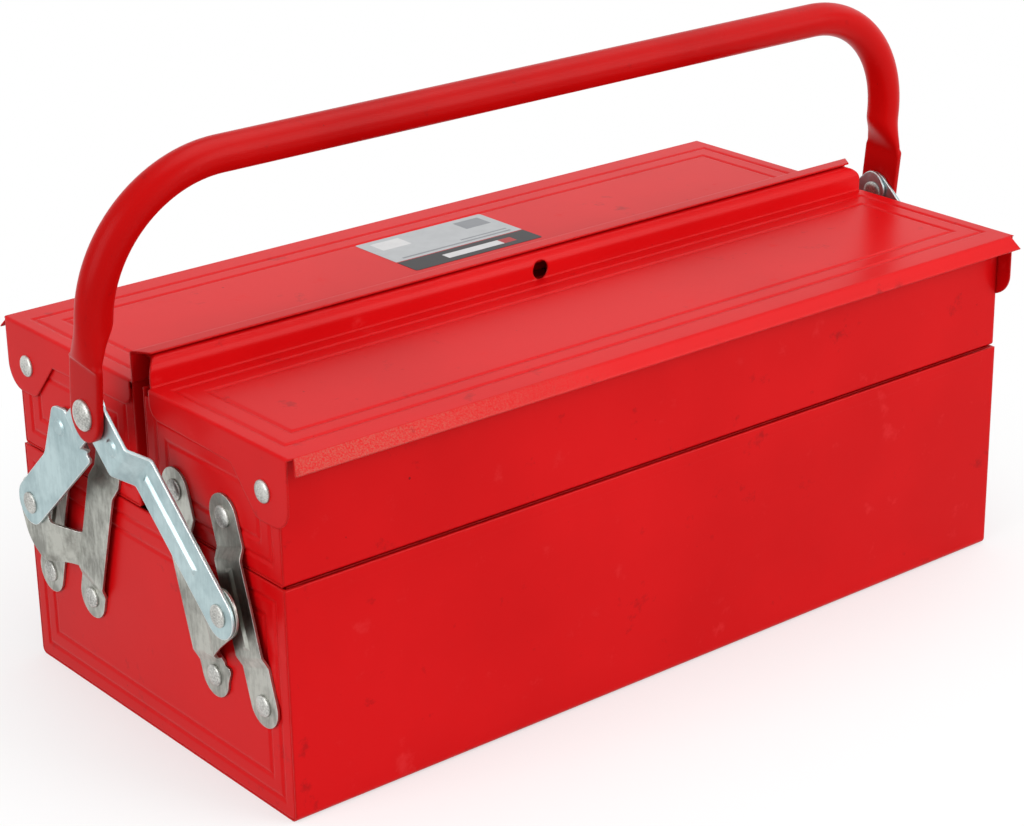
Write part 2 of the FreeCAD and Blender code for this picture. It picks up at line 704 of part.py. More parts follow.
pieces = {
    "base_shell": trough(half_length, -half_width, half_width, 0, base_height, base_height,
                         shell_corner_radius),
    "base_end_left": base_end,
    "base_end_right": to_right(base_end),
    "base_link_rivets": rivets(base_pivots, 0, link_seat + link_sheet, link_rivet_sizes),
    "front_lid": front_lid(),
    "rear_lid": to_rear(rear_lid()),
    "handle": handle(),
    "handle_rivets": handle_rivets(),
}

lid_tab_face = tray_face + lid_end_clearance + sheet
tray_pieces = {
    "tray_shell": tray_shell,
    "tray_link_rivets": rivets(front_tray_pivots, tray_face, link_tray_seat + link_sheet, link_rivet_sizes),
    "hinge_rivets": rivets([(-hinge_y, hinge_z)], tray_face, lid_tab_face, hinge_rivet_sizes),
    "arm_rivets": rivets([(-ear_y, ear_z)], ear_seat + link_sheet, arm_seat + arm_sheet, arm_rivet_sizes),
}
for name, shape in tray_pieces.items():
    pieces["front_" + name] = shape
    pieces["rear_" + name] = to_rear(shape)

tray_end = end_panel(-tray_half_length, -tray_outer_y, -tray_inner_y, tray_floor_z, tray_rim_z,
                     tray_corner_radius)
end_pieces = {
    "front_tray_end": tray_end,
    "rear_tray_end": to_rear(tray_end),
    "front_outer_link": outer_link(),
    "rear_outer_link": to_rear(outer_link()),
    "front_inner_link": inner_link(front_ear_shares, True),
    "rear_inner_link": to_rear(inner_link(rear_ear_shares, False)),
    "front_arm": front_arm(),
    "rear_arm": to_rear(rear_arm()),
}
for name, shape in end_pieces.items():
    pieces[name + "_left"] = shape
    pieces[name + "_right"] = to_right(shape)

for name, shape in pieces.items():
    if not shape.isValid() or shape.Volume <= 0:
        raise ValueError(name + " is not a sound solid")
    shape.exportStep("parts/" + name + ".step")
print(len(pieces), "pieces written")
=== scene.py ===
"""Cantilever tool box: finishes, rivets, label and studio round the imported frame.

The frame's axes are kept: +X runs along the box, the front long side faces -Y
and +Z is up. Sizes are in metres, and the helpers for properties take millimetres.
"""
import json
import math

import bmesh
import bpy
from bpy.props import FloatProperty, FloatVectorProperty, IntProperty, PointerProperty
from bpy.types import Operator, Panel, PropertyGroup
from mathutils import Matrix, Vector


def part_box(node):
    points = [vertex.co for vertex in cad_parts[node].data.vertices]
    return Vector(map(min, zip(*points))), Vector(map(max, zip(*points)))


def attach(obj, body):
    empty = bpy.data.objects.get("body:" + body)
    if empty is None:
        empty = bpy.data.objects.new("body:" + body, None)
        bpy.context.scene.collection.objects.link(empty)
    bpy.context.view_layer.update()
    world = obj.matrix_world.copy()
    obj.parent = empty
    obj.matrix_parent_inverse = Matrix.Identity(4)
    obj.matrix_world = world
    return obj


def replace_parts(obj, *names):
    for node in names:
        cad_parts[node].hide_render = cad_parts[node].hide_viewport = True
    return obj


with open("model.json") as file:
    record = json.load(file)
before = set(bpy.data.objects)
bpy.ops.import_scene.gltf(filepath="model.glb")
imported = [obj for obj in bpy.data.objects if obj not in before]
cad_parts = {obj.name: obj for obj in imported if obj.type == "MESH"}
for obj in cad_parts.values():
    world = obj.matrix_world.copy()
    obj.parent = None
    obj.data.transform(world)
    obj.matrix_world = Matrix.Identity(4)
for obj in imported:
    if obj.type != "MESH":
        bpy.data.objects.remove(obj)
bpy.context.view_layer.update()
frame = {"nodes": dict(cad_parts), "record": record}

bl_info = {
    "name": "Cantilever Tool Box",
    "version": (1, 0, 0),
    "blender": (4, 5, 0),
    "location": "View3D > Sidebar > Tool Box",
    "description": "Finishes, rivets, label and studio for a pressed steel cantilever tool box",
    "category": "Object",
}

MM = 0.001
SIDES = ("left", "right")
ROWS = ("front", "rear")
SHELL_NODES = ["base_shell", "front_tray_shell", "rear_tray_shell"]
END_NODES = ["base_end_" + side for side in SIDES]
END_NODES += [row + "_tray_end_" + side for row in ROWS for side in SIDES]
LID_NODES = ["front_lid", "rear_lid"]
LINK_KINDS = ("_inner_link_", "_outer_link_")
LINK_NODES = [row + kind + side for row in ROWS for kind in LINK_KINDS for side in SIDES]
ARM_NODES = [row + "_arm_" + side for row in ROWS for side in SIDES]

# Noise levels between which each mark in the enamel fades in
CLOUD_LEVELS = (0.38, 0.66)
RUB_LEVELS = (0.62, 0.74)
SMUDGE_LEVELS = (0.37, 0.27)
SPECK_LEVELS = (0.79, 0.83)
GLINT_LEVELS = (0.35, 0.75)
# How much each mark covers the enamel where it is strongest
RUB_COVER = 0.4
SMUDGE_COVER = 0.5
SPECK_COVER = 0.8
THIN_COVER = 0.5
# How much rougher the enamel is where it is rubbed
RUB_ROUGHNESS = 0.2
# Cosines between a rounded normal and the face's own, from where an edge starts to where it is full
EDGE_COSINES = (0.93, 0.8)
# The flared lips face forwards and up, as nothing else flat on the box does
LIP_FACING = (0, -0.62, 0.78)
LIP_COSINES = (0.9, 0.97)

# Mottle levels where a metal is bright and where it is shaded, and their rise with the grain's share
SHADE_LEVELS = (0.62, 0.4)
SHADE_RISE = (0.5, 0.4)
# Grain levels between which a metal turns from rougher to smoother, and by how much it differs there
GRAIN_LEVELS = (0.3, 0.7)
GRAIN_ROUGHNESS = (0.08, -0.05)

# The label's faint creases, their width and height, and the share of a colour left where it fades
FOIL_MOTTLE = 3 * MM
FOIL_CREASE = 0.03 * MM
FOIL_FADE = 0.8
# Screen ink reflects less than the shader's default
INK_SPECULAR = 0.12
# Where the label's plain blocks and lines begin and end: shares of its length from the left, and
# stripe widths from the dark band to the back
PRINT_COLUMNS = (0, 0.08, 0.24, 0.3, 0.57, 0.62, 0.74, 0.84, 0.94, 1)
PRINT_ROWS = (0, 0.5, 2, 3, 4.2, 5)

# Shares of a rivet tail's radius and height, from its inner end outwards
TAIL_SHAPE = ((0.6, 1), (0.9, 0.8), (1, 0.4), (1, 0))
# This power makes a rivet's crown a little fuller than round
CROWN_POWER = 0.9
# How much squarer than an ellipse the tube's section is where it is pressed flat
FLAT_SQUARENESS = 8
# Width that the rounded end of the flat keeps at its tip
TIP_WIDTH = 0.04 * MM

# Steps along the rounded stretches of the meshes
CROWN_STEPS = 8
HEM_STEPS = 8
FLAT_END_STEPS = 8
LEG_STEPS = 36
BEND_STEPS = 32

# The soft boxes face this point inside the box
LAMP_AIM = Vector((0, 0, 0.1))
# From the floor's middle to its sides
FLOOR_REACH = 6.0
# Off camera the floor keeps this share of its lightness, so that it throws less light up the box
FLOOR_DIM = 0.6


def hex_colour(text):
    """An sRGB hex colour as linear red, green and blue."""
    channels = [int(text[start:start + 2], 16) / 255 for start in (1, 3, 5)]
    return tuple(channel / 12.92 if channel <= 0.04045 else ((channel + 0.055) / 1.055) ** 2.4
                 for channel in channels)


def size(label, words, millimetres):
    """A length property, given in millimetres and kept in metres."""
    return FloatProperty(name=label, description=words, default=millimetres * MM, unit="LENGTH", precision=5)


def share(label, words, value):
    """A plain factor from 0 to 1."""
    return FloatProperty(name=label, description=words, default=value, min=0, max=1, subtype="FACTOR")


def tint(label, words, text):
    """A colour property with its default as sRGB hex."""
    return FloatVectorProperty(name=label, description=words, default=hex_colour(text), size=3,
                               min=0, max=1, subtype="COLOR")


def angle(label, words, degrees):
    """An angle property, given in degrees and kept in radians."""
    return FloatProperty(name=label, description=words, default=math.radians(degrees), subtype="ANGLE")


def spot(label, words, millimetres):
    """A place property, given in millimetres and kept in metres."""
    return FloatVectorProperty(name=label, description=words, default=[part * MM for part in millimetres],
                               size=3, subtype="TRANSLATION", unit="LENGTH", precision=5)


def watts(label, words, value):
    """A light's power property."""
    return FloatProperty(name=label, description=words, default=value, unit="POWER")


class ToolBoxEnamel(PropertyGroup):
    """Colours, sheen, painted glints and wear of the red enamel"""
    colour: tint("Red", "The red enamel in even light", "#D20E12")
    deep_colour: tint("Deep red", "Where the coat is thick", "#C4070B")
    # The handle's two reds are darker than the box's, and this darkness is painted shade for the tube's
    # sides.
    tube_shaded_colour: tint("Tube red", "The darker dipped enamel of the handle", "#BE0B0B")
    tube_shaded_deep_colour: tint("Deep tube red", "Where the handle's coat is thick", "#A60506")
    edge_colour: tint("Edge red", "Thin coat over folds and cut edges", "#DE2A26")
    rub_colour: tint("Rubbed red", "Dull rubbed marks", "#DB3A3C")
    smudge_colour: tint("Smudge", "Faint dark smudges", "#7E0C10")
    speck_colour: tint("Specks", "Small dark chips and specks", "#5A1414")
    roughness: share("Roughness", "How soft the enamel's reflections are", 0.3)
    sheen: share("Sheen", "Strength of the reflections", 0.082)
    tube_sheen: share("Tube sheen", "Strength of the reflections on the handle", 0.06)
    lip_sheen: share("Lip sheen", "Strength of the reflections on the flared lips", 0.14)
    # The next four settings paint glints into the colour of the front lip's left part: a grainy pink that
    # stands in for the sheen off its orange peel.
    painted_glint_colour: tint("Scuff", "Grainy pink scuff on the left part of the front lip", "#B65C50")
    glint_grain: size("Scuff grain", "Width of one grain of the scuff", 0.32)
    glint_start: size("Scuff start", "Where the scuff starts to fade, from the box's middle", -170.0)
    glint_end: size("Scuff end", "Where the scuff has faded, from the box's middle", -40.0)
    lip_front: size("Lip", "How far in front of the box's middle the front lip begins", -102.0)
    peel: size("Orange peel", "Width of one ripple of the dried coat", 0.9)
    peel_depth: size("Ripple depth", "Height of those ripples", 0.014)
    lip_peel_depth: size("Lip ripple depth", "Height of the ripples where the coat pooled on the lips", 0.06)
    cloud: size("Cloud", "Width of the slow changes of shade", 70.0)
    rub: size("Rub", "Width of a rubbed mark", 9.0)
    speck: size("Speck", "Width of the largest dark specks", 1.4)
    edge: size("Edge rounding", "Radius that the coat gives to folds and cut edges", 1.4)


class ToolBoxTube(PropertyGroup):
    """Sizes of the handle's tube and its pressed ends"""
    across: size("Across", "Outer diameter of the tube", 16.0)
    height: size("Height", "From the pivots to the middle of the grip", 101.5)
    bend: size("Bend", "Radius of the two bends at the middle of the tube", 60.0)
    lean: angle("Lean", "How far the handle leans to the front", 6.3)
    flat_width: size("Flat width", "Width of the pressed flat", 22.4)
    flat_thickness: size("Flat thickness", "Thickness of the pressed flat", 3.2)
    flat_inset: size("Flat inset", "From the outside of the tube in to the flat's outer face", 2.4)
    end_reach: size("End reach", "From the pivot down to the end of the flat", 12.0)
    flat_length: size("Flat length", "From the pivot up to the top of the flat", 22.0)
    swage_length: size("Swage length", "From the flat up to the round tube, on the inside", 20.0)
    step_length: size("Step length", "Length of the soft step on the outside", 3.5)
    steps: IntProperty(name="Steps", description="Points round the tube", default=48, min=16)


class ToolBoxHem(PropertyGroup):
    """Sizes of the hems under the trays' long outer walls"""
    drop: size("Drop", "How far a hem hangs below its tray's wall", 0.35)
    thickness: size("Thickness", "Across the hem, as the wall", 0.8)
    inset: size("Inset", "From the tray's ends to those of the hem", 1.5)


class ToolBoxMetal(PropertyGroup):
    """Colours and grain of the plated metals"""
    zinc: tint("Zinc", "Bright zinc plate on the arms", "#BACED0")
    zinc_shade: tint("Zinc shade", "Greyer patches in the plate", "#9FB4B7")
    steel: tint("Steel", "Dull plated steel of the links", "#B9BAB2")
    steel_shade: tint("Steel shade", "Darker stains on the links", "#86867F")
    rivet: tint("Rivet steel", "Pale sandy steel of the rivet heads", "#CBCBC6")
    rivet_shade: tint("Rivet shade", "Pits in the rivet heads", "#8E8E8A")
    # Edges and pressed beads take this near white, partly as rubbed bright metal and partly as painted
    # highlights.
    rubbed_and_highlit_edge: tint("Bright edge", "Cut edges rubbed bright", "#F2F1EE")
    streak: size("Rolling streak", "Width of a rolling streak", 1.1)
    grit: size("Grit", "Width of one pit on a rivet", 0.4)
    patch: size("Patch", "Width of a cloudy patch in the plating", 9.0)
    edge: size("Edge rounding", "Radius of the blanked edges", 0.3)
    arm_edge: size("Arm edge rounding", "Radius of the arms' edges and round their pressed beads", 1.0)


class ToolBoxRivets(PropertyGroup):
    """Sizes of the rivet heads and tails"""
    steps: IntProperty(name="Steps", description="Segments round a rivet head", default=40, min=12)
    link_head: size("Link head", "Height of a link rivet's head", 1.7)
    hinge_head: size("Hinge head", "Height of a lid hinge rivet's head", 1.9)
    arm_head: size("Arm head", "Height of an arm rivet's head", 1.5)
    handle_head: size("Handle head", "Height of a handle rivet's head", 2.6)
    arm_sheet: size("Arm sheet", "Thickness of an arm, under which a handle rivet is upset", 1.4)
    tail_height: size("Tail", "Height of the upset tail behind the arms", 1.1)
    rim: share("Rim", "Share of a head's height taken by its straight rim", 0.3)
    shank: share("Shank", "Shank radius as a share of the head's", 0.5)
    tail_share: share("Tail width", "Tail radius as a share of the head's", 0.8)


class ToolBoxLabel(PropertyGroup):
    """Sizes and colours of the label"""
    length: size("Length", "Along the box", 76.0)
    width: size("Width", "Across the box", 49.0)
    centre_x: size("Centre X", "Along the box from its middle", 2.7)
    centre_y: size("Centre Y", "Across the box from its middle", 61.8)
    corner: size("Corner", "Corner radius", 1.2)
    thickness: size("Thickness", "Thickness of the foil", 0.12)
    band: size("Band", "Width of the dark band along the front edge", 15.0)
    bar: size("Bar", "Width of the plain light bar in the band", 6.0)
    stripe: size("Stripe", "Width of the red line over the band", 1.6)
    panel: size("Panel", "Width of the plain grey panel at the back", 15.0)
    foil: tint("Foil", "Silver foil", "#BEC0C2")
    ink: tint("Ink", "Dark band", "#262325")
    light: tint("Light", "Plain bar in the band", "#D8D8D8")
    accent: tint("Accent", "Red line", "#B01C22")
    grey: tint("Grey", "Plain panel", "#8B8E92")


class ToolBoxStage(PropertyGroup):
    """Floor, camera, lights and room"""
    floor: tint("Floor", "Plain pale floor", "#F6F6F6")
    azimuth: angle("Azimuth", "Camera's place round the box from straight ahead", -38.86)
    elevation: angle("Elevation", "Camera's height angle", 21.78)
    roll: angle("Roll", "Camera's turn about its own view", -0.95)
    distance: size("Distance", "From the aim to the camera", 1278.75)
    aim_right: size("Aim right", "Aim beside the origin, along the picture", -9.32)
    aim_up: size("Aim up", "Aim above the origin, up the picture", 88.21)
    lens: FloatProperty(name="Lens", description="Focal length in millimetres", default=92.76, unit="CAMERA")
    sensor: FloatProperty(name="Frame", description="Width of the camera's frame in millimetres",
                          default=36.0, unit="CAMERA")
    top_power: watts("Top light", "Power of the overhead soft box", 11.0)
    top_width: size("Top width", "Side of the overhead soft box", 1600.0)
    top_place: spot("Top place", "Middle of the overhead soft box", (200.0, -100.0, 1800.0))
    front_power: watts("Front light", "Power of the front soft box", 25.0)
    front_width: size("Front width", "Side of the front soft box", 1300.0)
    front_place: spot("Front place", "Middle of the front soft box", (1000.0, -1700.0, 800.0))
    left_power: watts("Left light", "Power of the left soft box", 17.5)
    left_width: size("Left width", "Side of the left soft box", 1300.0)
    left_place: spot("Left place", "Middle of the left soft box", (-1900.0, -200.0, 900.0))
    world: share("Room", "Strength of the room's light on the box", 0.55)
    shadow: size("Shadow", "Distance from the box's middle within which its shadow is deepest", 170.0)
    haze: share("Haze", "Share of plain white in the floor next to the box, which pales its shadow", 0.5)
    clear: size("Clear floor", "Distance from the box's middle at which the floor is plain white", 400.0)


def add_node(tree, kind, inputs, output=0, **settings):
    """Add a node with its settings, and give one of its outputs.

    Each input takes a constant or another node's output.
    """
    node = tree.nodes.new(kind)
    for name, value in settings.items():
        setattr(node, name, value)
    for socket, value in inputs.items():
        if isinstance(value, bpy.types.NodeSocket):
            tree.links.new(value, node.inputs[socket])
        else:
            node.inputs[socket].default_value = value
    return node.outputs[output] if len(node.outputs) else None


def opaque(colour):
    """A colour with full alpha, as colour sockets take it."""
    return (*colour, 1.0)


def start_material(name):
    """A material with an empty tree, and its object coordinates."""
    material = bpy.data.materials.new(name)
    material.use_nodes = True
    tree = material.node_tree
    tree.nodes.clear()
    place = add_node(tree, "ShaderNodeTexCoord", {}, "Object")
    return material, tree, place


def rounded_edges(tree, radius):
    """A normal that rounds edges, and a mask of 1 on the edges and 0 on the flats."""
    rounded = add_node(tree, "ShaderNodeBevel", {"Radius": radius}, "Normal", samples=6)
    flat = add_node(tree, "ShaderNodeNewGeometry", {}, "Normal")
    facing = add_node(tree, "ShaderNodeVectorMath", {0: rounded, 1: flat}, "Value", operation="DOT_PRODUCT")
    mask = add_node(tree, "ShaderNodeMapRange",
                    {"Value": facing, "From Min": EDGE_COSINES[0], "From Max": EDGE_COSINES[1]}, "Result")
    return rounded, mask


def lip_painted_glints(tree, settings, place, lip):
    """Cover of the painted glints: a grainy pink on the front lip alone that stands in for the sheen off its
    peel, and fades towards the right.
    """
    axes = add_node(tree, "ShaderNodeSeparateXYZ", {0: place}, "X").node.outputs
    leftwards = add_node(tree, "ShaderNodeMapRange",
                    {"Value": axes["X"], "From Min": settings.glint_end, "From Max": settings.glint_start},
                    "Result")
    front = add_node(tree, "ShaderNodeMath", {0: axes["Y"], 1: settings.lip_front}, operation="LESS_THAN")
    glint_noise = add_node(tree, "ShaderNodeTexNoise",
                    {"Vector": place, "Scale": 1 / (2 * settings.glint_grain), "Detail": 3.0}, "Fac")
    cover = add_node(tree, "ShaderNodeMapRange",
                     {"Value": glint_noise, "From Min": GLINT_LEVELS[0], "From Max": GLINT_LEVELS[1]}, "Result")
    for mask in (leftwards, lip, front):
        cover = add_node(tree, "ShaderNodeMath", {0: cover, 1: mask}, operation="MULTIPLY")
    return cover


def red_enamel(name, settings, colour, deep_colour, sheen):
    """Stoved enamel over pressed steel.

    The eye sees an even saturated red with a soft sheen: a fine orange peel, a thinner and
    lighter coat over folds and cut edges, dull rubs from handling, faint smudges and a few dark
    specks. On the lips that flare to the front the coat pooled in a coarser and glossier peel,
    and on the front lip's left part grainy pink glints are painted into the colour as that peel's sheen.
    """
    material, tree, place = start_material(name)
    cloud = add_node(tree, "ShaderNodeTexNoise",
                     {"Vector": place, "Scale": 1 / (2 * settings.cloud), "Detail": 4.0}, "Fac")
    thick = add_node(tree, "ShaderNodeMapRange",
                     {"Value": cloud, "From Min": CLOUD_LEVELS[0], "From Max": CLOUD_LEVELS[1]}, "Result")
    # Rubs are the top of one coarse noise and smudges its bottom, so both are few and faint
    handled = add_node(tree, "ShaderNodeTexNoise",
                       {"Vector": place, "Scale": 1 / (2 * settings.rub), "Detail": 6.0, "Roughness": 0.7},
                       "Fac")
    rub = add_node(tree, "ShaderNodeMapRange",
                   {"Value": handled, "From Min": RUB_LEVELS[0], "From Max": RUB_LEVELS[1],
                    "To Max": RUB_COVER}, "Result")
    smudge = add_node(tree, "ShaderNodeMapRange",
                      {"Value": handled, "From Min": SMUDGE_LEVELS[0], "From Max": SMUDGE_LEVELS[1],
                       "To Max": SMUDGE_COVER}, "Result")
    specked = add_node(tree, "ShaderNodeTexNoise",
                       {"Vector": place, "Scale": 1 / (2 * settings.speck), "Detail": 2.0,
                        "Roughness": 0.4}, "Fac")
    speck = add_node(tree, "ShaderNodeMapRange",
                     {"Value": specked, "From Min": SPECK_LEVELS[0], "From Max": SPECK_LEVELS[1],
                      "To Max": SPECK_COVER}, "Result")
    rounded, edge = rounded_edges(tree, settings.edge)
    thin = add_node(tree, "ShaderNodeMath", {0: edge, 1: THIN_COVER}, operation="MULTIPLY")
    flat = add_node(tree, "ShaderNodeNewGeometry", {}, "Normal")
    forwards = add_node(tree, "ShaderNodeVectorMath", {0: flat, 1: LIP_FACING}, "Value",
                        operation="DOT_PRODUCT")
    lip = add_node(tree, "ShaderNodeMapRange",
                   {"Value": forwards, "From Min": LIP_COSINES[0], "From Max": LIP_COSINES[1]}, "Result")
    base = opaque(colour)
    # The last coat is painted light: grainy pink glints that stand in for the sheen off the front lip's
    # peel.
    coats = ((thick, deep_colour), (rub, settings.rub_colour), (smudge, settings.smudge_colour),
             (speck, settings.speck_colour), (thin, settings.edge_colour),
             (lip_painted_glints(tree, settings, place, lip), settings.painted_glint_colour))
    for cover, tone in coats:
        base = add_node(tree, "ShaderNodeMix", {"Factor": cover, 6: base, 7: opaque(tone)}, 2,
                        data_type="RGBA")
    roughness = add_node(tree, "ShaderNodeMapRange",
                         {"Value": rub, "From Max": RUB_COVER, "To Min": settings.roughness,
                          "To Max": settings.roughness + RUB_ROUGHNESS}, "Result")
    depth = add_node(tree, "ShaderNodeMapRange",
                     {"Value": lip, "To Min": settings.peel_depth, "To Max": settings.lip_peel_depth},
                     "Result")
    shine = add_node(tree, "ShaderNodeMapRange",
                     {"Value": lip, "To Min": sheen, "To Max": settings.lip_sheen}, "Result")
    peel = add_node(tree, "ShaderNodeTexNoise",
                    {"Vector": place, "Scale": 1 / (2 * settings.peel), "Detail": 2.0}, "Fac")
    normal = add_node(tree, "ShaderNodeBump", {"Height": peel, "Normal": rounded, "Distance": depth})
    shader = add_node(tree, "ShaderNodeBsdfPrincipled",
                      {"Base Color": base, "Roughness": roughness, "Normal": normal, "IOR": 1.5,
                       "Specular IOR Level": shine})
    add_node(tree, "ShaderNodeOutputMaterial", {"Surface": shader})
    return material


def plated_metal(name, settings, bright, shade, width, edge_radius, *, roughness, relief, stretch, grained):
    """A metal in two shades, with a streaked or pitted skin, and edges and beads made near white, partly
    rubbed bright and partly as painted highlights.

    The skin's grain has a width, a relief and a stretch along each axis. grained is how much the
    grain adds to the change of shade, beside the clouds.
    """
    material, tree, place = start_material(name)
    cloudy = add_node(tree, "ShaderNodeTexNoise",
                      {"Vector": place, "Scale": 1 / (2 * settings.patch), "Detail": 5.0,
                       "Roughness": 0.65}, "Fac")
    mapped = add_node(tree, "ShaderNodeMapping", {"Vector": place, "Scale": stretch}, "Vector")
    grain = add_node(tree, "ShaderNodeTexNoise",
                     {"Vector": mapped, "Scale": 1 / (2 * width), "Detail": 4.0, "Roughness": 0.6}, "Fac")
    mottle = add_node(tree, "ShaderNodeMath", {0: grain, 1: grained, 2: cloudy}, operation="MULTIPLY_ADD")
    shaded = add_node(tree, "ShaderNodeMapRange",
                      {"Value": mottle, "From Min": SHADE_LEVELS[0] + SHADE_RISE[0] * grained,
                       "From Max": SHADE_LEVELS[1] + SHADE_RISE[1] * grained}, "Result")
    colour = add_node(tree, "ShaderNodeMix", {"Factor": shaded, 6: opaque(bright), 7: opaque(shade)},
                      2, data_type="RGBA")
    rounded, edge = rounded_edges(tree, edge_radius)
    # Edges and beads are painted near white: partly rubbed bright, partly painted highlight.
    colour = add_node(tree, "ShaderNodeMix", {"Factor": edge, 6: colour, 7: opaque(settings.rubbed_and_highlit_edge)},
                      2, data_type="RGBA")
    rough = add_node(tree, "ShaderNodeMapRange",
                     {"Value": grain, "From Min": GRAIN_LEVELS[0], "From Max": GRAIN_LEVELS[1],
                      "To Min": roughness + GRAIN_ROUGHNESS[0],
                      "To Max": roughness + GRAIN_ROUGHNESS[1]}, "Result")
    normal = add_node(tree, "ShaderNodeBump", {"Height": grain, "Normal": rounded, "Distance": relief})
    shader = add_node(tree, "ShaderNodeBsdfPrincipled",
                      {"Base Color": colour, "Roughness": rough, "Normal": normal, "Metallic": 1.0})
    add_node(tree, "ShaderNodeOutputMaterial", {"Surface": shader})
    return material


def zinc_plate(settings):
    """Bright zinc electroplate on the arms: bluish white and smooth, with faint rolling streaks."""
    return plated_metal("bright zinc plate", settings, settings.zinc, settings.zinc_shade,
                        settings.streak, settings.arm_edge, roughness=0.4, relief=0.002 * MM,
                        stretch=(1.0, 1.0, 0.15), grained=0.25)


def dull_steel(settings):
    """Plain plated strip steel of the links: warmer, greyer and duller than the arms, with stains."""
    return plated_metal("dull plated strip steel", settings, settings.steel, settings.steel_shade,
                        settings.streak, settings.edge, roughness=0.36, relief=0.004 * MM,
                        stretch=(1.0, 1.0, 0.25), grained=0.5)


def rivet_steel(settings):
    """Tumbled rivet steel: pale, with the sandy pitted skin of barrel plating."""
    return plated_metal("barrel plated rivet steel", settings, settings.rivet, settings.rivet_shade,
                        settings.grit, settings.edge, roughness=0.42, relief=0.05 * MM,
                        stretch=(1.0, 1.0, 1.0), grained=1.0)


def printed_foil(name, colour, *, metallic, roughness):
    """Screen print or bare aluminium foil on the label: even, a little mottled, gently creased."""
    material, tree, place = start_material(name)
    mottle = add_node(tree, "ShaderNodeTexNoise",
                      {"Vector": place, "Scale": 1 / (2 * FOIL_MOTTLE), "Detail": 5.0}, "Fac")
    faded = tuple(FOIL_FADE * channel for channel in colour)
    shade = add_node(tree, "ShaderNodeMix", {"Factor": mottle, 6: opaque(colour), 7: opaque(faded)},
                     2, data_type="RGBA")
    normal = add_node(tree, "ShaderNodeBump", {"Height": mottle, "Distance": FOIL_CREASE})
    shader = add_node(tree, "ShaderNodeBsdfPrincipled",
                      {"Base Color": shade, "Roughness": roughness, "Metallic": metallic, "Normal": normal,
                       "Specular IOR Level": 0.5 if metallic == 1 else INK_SPECULAR})
    add_node(tree, "ShaderNodeOutputMaterial", {"Surface": shader})
    return material


def finish_nodes(names, material):
    """Give CAD pieces a finish through their objects' own material slots."""
    for name in names:
        for slot in frame["nodes"][name].material_slots:
            slot.material = material


def new_piece(name, mesh, materials, body):
    """A new visible piece that rides on a body and takes its finishes."""
    for material in materials:
        mesh.materials.append(material)
    piece = bpy.data.objects.new(name, mesh)
    bpy.context.scene.collection.objects.link(piece)
    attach(piece, body)
    return piece


def joint_place(name):
    """Where a joint's axis crosses the middle of the box."""
    for joint in frame["record"]["behaviour"]["joints"]:
        if joint["name"] == name:
            return Vector(joint["pos_m"])
    raise KeyError(name)


def outward(node):
    """How far a node reaches from the middle of the box towards its ends."""
    low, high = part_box(node)
    return max(-low.x, high.x)


def join_rings(builder, rings):
    """Skin rings of as many vertices each, and close both ends."""
    for ring, following in zip(rings, rings[1:]):
        for step in range(len(ring)):
            beside = (step + 1) % len(ring)
            builder.faces.new((ring[step], ring[beside], following[beside], following[step]))
    builder.faces.new(rings[0])
    builder.faces.new(rings[-1])


def turned_rings(builder, profile, place, end, steps):
    """Turn a profile of (radius, distance from the box's middle) round an axis along the box."""
    rings = []
    turns = [2 * math.pi * step / steps for step in range(steps)]
    for radius, reach in profile:
        rings.append([builder.verts.new((end * reach, place.y + radius * math.cos(turn),
                                         place.z + radius * math.sin(turn))) for turn in turns])
    join_rings(builder, rings)


def smooth_mesh(builder, name, sharp_degrees):
    """A mesh with its faces turned outwards, smooth but for folds over an angle."""
    bmesh.ops.recalc_face_normals(builder, faces=builder.faces)
    mesh = bpy.data.meshes.new(name)
    builder.to_mesh(mesh)
    builder.free()
    mesh.shade_smooth()
    mesh.set_sharp_from_angle(angle=math.radians(sharp_degrees))
    return mesh


def sort_by_place(parts, place):
    """Put a mesh's vertices or faces in the order of their places, which is the same on each run."""
    for index, part in enumerate(sorted(parts, key=lambda part: tuple(place(part)))):
        part.index = index
    parts.sort()


def rivet_profile(settings, radius, top, height, foot, tail):
    """A rivet's upset tail, shank and domed head, from its inner end outwards.

    top and foot are distances from the box's middle: the crown of the head, and the inner end
    of the shank.
    """
    shank = radius * settings.shank
    seat = top - height
    profile = []
    if tail > 0:
        wide = radius * settings.tail_share
        profile = [(wide * across, foot - tail * down) for across, down in TAIL_SHAPE]
    profile += [(shank, foot), (shank, seat), (radius, seat), (radius, seat + height * settings.rim)]
    crown = height * (1 - settings.rim)
    for step in range(1, CROWN_STEPS):
        turn = math.pi / 2 * step / CROWN_STEPS
        profile.append((radius * math.cos(turn) ** CROWN_POWER, top - crown + crown * math.sin(turn)))
    return profile


def rivet_set(settings, node, body, places, head, foot, material, tail=0.0):
    """Put domed rivets in place of a CAD set, at its places on both ends."""
    low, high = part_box(node)
    radius = (high.z - low.z) / 2
    builder = bmesh.new()
    for end in (-1, 1):
        for place in places:
            profile = rivet_profile(settings, radius, outward(node), head, foot, tail)
            turned_rings(builder, profile, place, end, settings.steps)
    mesh = smooth_mesh(builder, node + "_domed", sharp_degrees=50)
    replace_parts(new_piece(node + "_domed", mesh, [material], body), node)


class TOOLBOX_OT_enamel(Operator):
    """Finish the shells, ends and lids in red enamel"""
    bl_idname = "toolbox.enamel"
    bl_label = "Red Enamel"

    def execute(self, context):
        settings = context.scene.tool_box_enamel
        material = red_enamel("stoved red enamel", settings, settings.colour, settings.deep_colour,
                              settings.sheen)
        finish_nodes(SHELL_NODES + END_NODES + LID_NODES, material)
        return {"FINISHED"}


def smooth_share(value, low, high):
    """0 below low, 1 above high and an even S curve between them."""
    part = min(max((value - low) / (high - low), 0), 1)
    return part * part * (3 - 2 * part)


